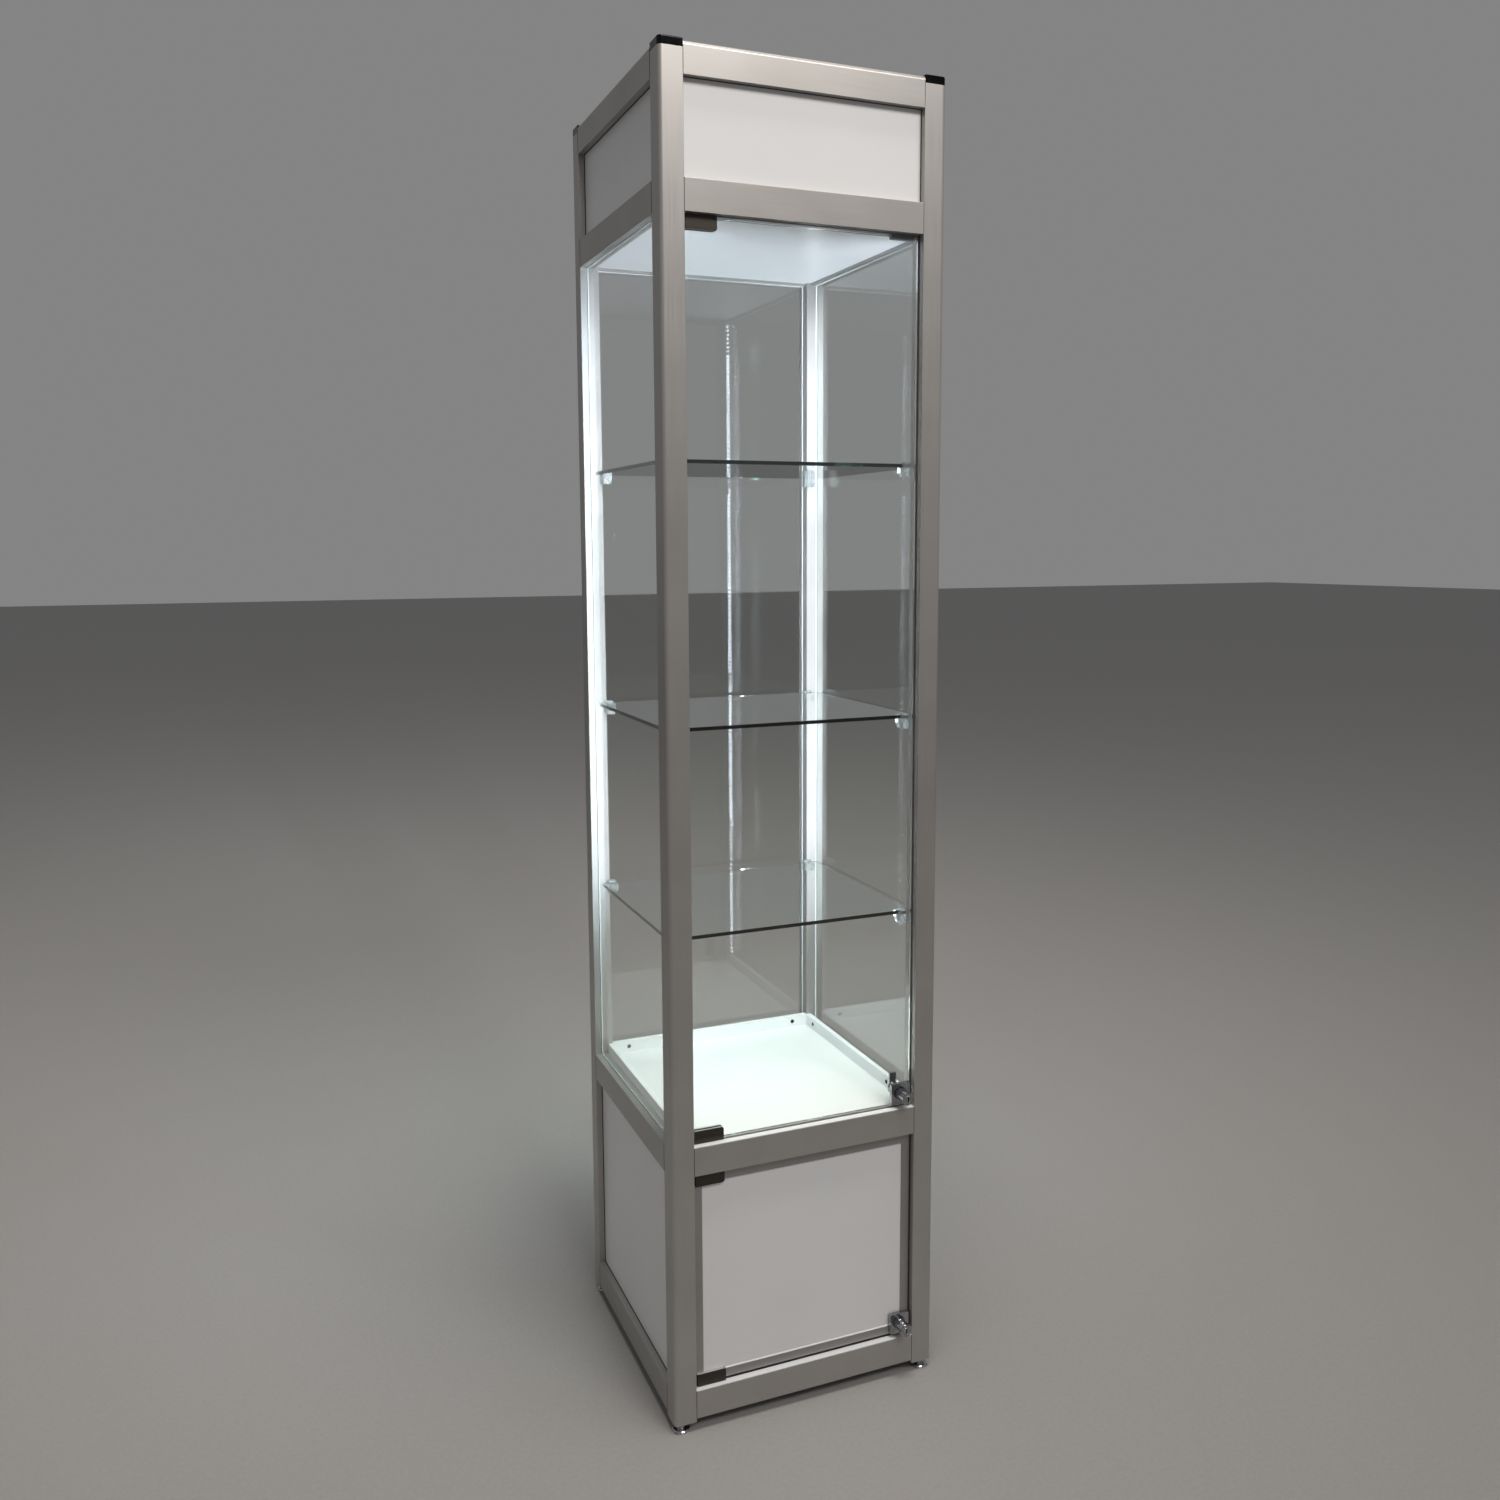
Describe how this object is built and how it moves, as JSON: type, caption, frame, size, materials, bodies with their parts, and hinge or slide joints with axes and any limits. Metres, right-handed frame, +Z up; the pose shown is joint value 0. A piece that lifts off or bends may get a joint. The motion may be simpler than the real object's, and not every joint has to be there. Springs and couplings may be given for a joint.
{
  "type": "tower display case",
  "caption": "Square aluminium-framed glass tower showcase with header panels, hinged glass door, lit shelves and a lockable cupboard base.",
  "frame": {"origin": "on the floor under the middle of the overall box, lock barrels included", "axes": "+Z up, doors face -Y, +X to the right seen from the front"},
  "size_m": [0.4, 0.418, 1.82],
  "materials": {
    "frame_aluminium": "satin anodised",
    "grommet_rubber": "matt",
    "white_laminate": "smooth white melamine",
    "black_chrome": "black chrome, polished",
    "dark_bronze": "dark bronze anodised",
    "lock_chrome": "polished",
    "zinc_steel": "zinc plated",
    "trim_aluminium": "satin anodised",
    "white_coated_aluminium": "white powder coat",
    "stop_plastic": "satin grey",
    "socket_steel": "zinc plated",
    "showcase_glass": "clear tempered",
    "shelf_glass": "clear, polished edges",
    "led_emitter": "white board with white light-emitting diodes",
    "channel_aluminium": "satin",
    "driver_plastic": "moulded",
    "foot_steel": "chrome plated",
    "pin_steel": "turned",
    "clear_plastic": "clear moulded",
    "seal_rubber": "matt black",
    "screw_steel": "black oxide"
  },
  "bodies": {
    "case": {"base_rail_front": "frame_aluminium", "base_rail_left": "frame_aluminium", "base_rail_right": "frame_aluminium", "cable_grommet": "grommet_rubber", "ceiling_board": "white_laminate", "corner_caps": "black_chrome", "cupboard_floor": "white_laminate", "cupboard_panel_left": "white_laminate", "cupboard_panel_rear": "white_laminate", "cupboard_panel_right": "white_laminate", "deck_board": "white_laminate", "deck_rail_front": "frame_aluminium", "deck_rail_left": "frame_aluminium", "deck_rail_right": "frame_aluminium", "deck_upstands": "white_coated_aluminium", "door_stops": "stop_plastic", "foot_sockets": "socket_steel", "glass_left": "showcase_glass", "glass_rear": "showcase_glass", "glass_right": "showcase_glass", "header_panel_front": "white_laminate", "header_panel_left": "white_laminate", "header_panel_rear": "white_laminate", "header_panel_right": "white_laminate", "header_rail_front": "frame_aluminium", "header_rail_left": "frame_aluminium", "header_rail_right": "frame_aluminium", "led_boards": "led_emitter", "led_channels": "channel_aluminium", "led_driver": "driver_plastic", "pivot_pins": "pin_steel", "post_front_left": "frame_aluminium", "post_front_right": "frame_aluminium", "post_rear_left": "frame_aluminium", "post_rear_right": "frame_aluminium", "rear_rails": "frame_aluminium", "shelf_clips": "clear_plastic", "top_board": "white_laminate", "top_rail_front": "frame_aluminium", "top_rail_left": "frame_aluminium", "top_rail_right": "frame_aluminium"},
    "glass_door": {"glass_door": "showcase_glass", "glass_door_hinges": "dark_bronze", "glass_door_lock_body": "lock_chrome"},
    "cupboard_door": {"cupboard_door_panel": "white_laminate", "cupboard_door_trim": "trim_aluminium", "cupboard_door_hinges": "dark_bronze", "cupboard_door_lock_body": "lock_chrome"},
    "glass_door_lock": {"glass_door_lock_plug": "lock_chrome", "glass_door_lock_cam": "zinc_steel"},
    "cupboard_door_lock": {"cupboard_door_lock_plug": "lock_chrome", "cupboard_door_lock_cam": "zinc_steel"},
    "shelf_upper": {"glass_shelf_upper": "shelf_glass"},
    "shelf_middle": {"glass_shelf_middle": "shelf_glass"},
    "shelf_lower": {"glass_shelf_lower": "shelf_glass"},
    "foot_front_left": {"levelling_foot_front_left": "foot_steel"},
    "foot_front_right": {"levelling_foot_front_right": "foot_steel"},
    "foot_rear_left": {"levelling_foot_rear_left": "foot_steel"},
    "foot_rear_right": {"levelling_foot_rear_right": "foot_steel"}
  },
  "joints": [
    {"name": "glass_door_swing", "type": "hinge", "parent": "case", "child": "glass_door", "pos_m": [-0.154, -0.1765, 1.013], "axis": [0, 0, -1], "range_deg": [0, 105]},
    {"name": "cupboard_door_swing", "type": "hinge", "parent": "case", "child": "cupboard_door", "pos_m": [-0.154, -0.1765, 0.213], "axis": [0, 0, -1], "range_deg": [0, 105]},
    {"name": "glass_door_lock_turn", "type": "hinge", "parent": "glass_door", "child": "glass_door_lock", "pos_m": [0.1495, -0.1765, 0.4285], "axis": [0, 1, 0], "range_deg": [0, 90]},
    {"name": "cupboard_door_lock_turn", "type": "hinge", "parent": "cupboard_door", "child": "cupboard_door_lock", "pos_m": [0.1495, -0.1765, 0.0785], "axis": [0, 1, 0], "range_deg": [0, 90]},
    {"name": "shelf_upper_lift", "type": "slide", "parent": "case", "child": "shelf_upper", "axis": [0, 0, 1], "range_m": [0, 0.12]},
    {"name": "shelf_middle_lift", "type": "slide", "parent": "case", "child": "shelf_middle", "axis": [0, 0, 1], "range_m": [0, 0.12]},
    {"name": "shelf_lower_lift", "type": "slide", "parent": "case", "child": "shelf_lower", "axis": [0, 0, 1], "range_m": [0, 0.12]},
    {"name": "foot_front_left_adjust", "type": "slide", "parent": "case", "child": "foot_front_left", "axis": [0, 0, -1], "range_m": [0, 0.012]},
    {"name": "foot_front_right_adjust", "type": "slide", "parent": "case", "child": "foot_front_right", "axis": [0, 0, -1], "range_m": [0, 0.012]},
    {"name": "foot_rear_left_adjust", "type": "slide", "parent": "case", "child": "foot_rear_left", "axis": [0, 0, -1], "range_m": [0, 0.012]},
    {"name": "foot_rear_right_adjust", "type": "slide", "parent": "case", "child": "foot_rear_right", "axis": [0, 0, -1], "range_m": [0, 0.012]}
  ]
}
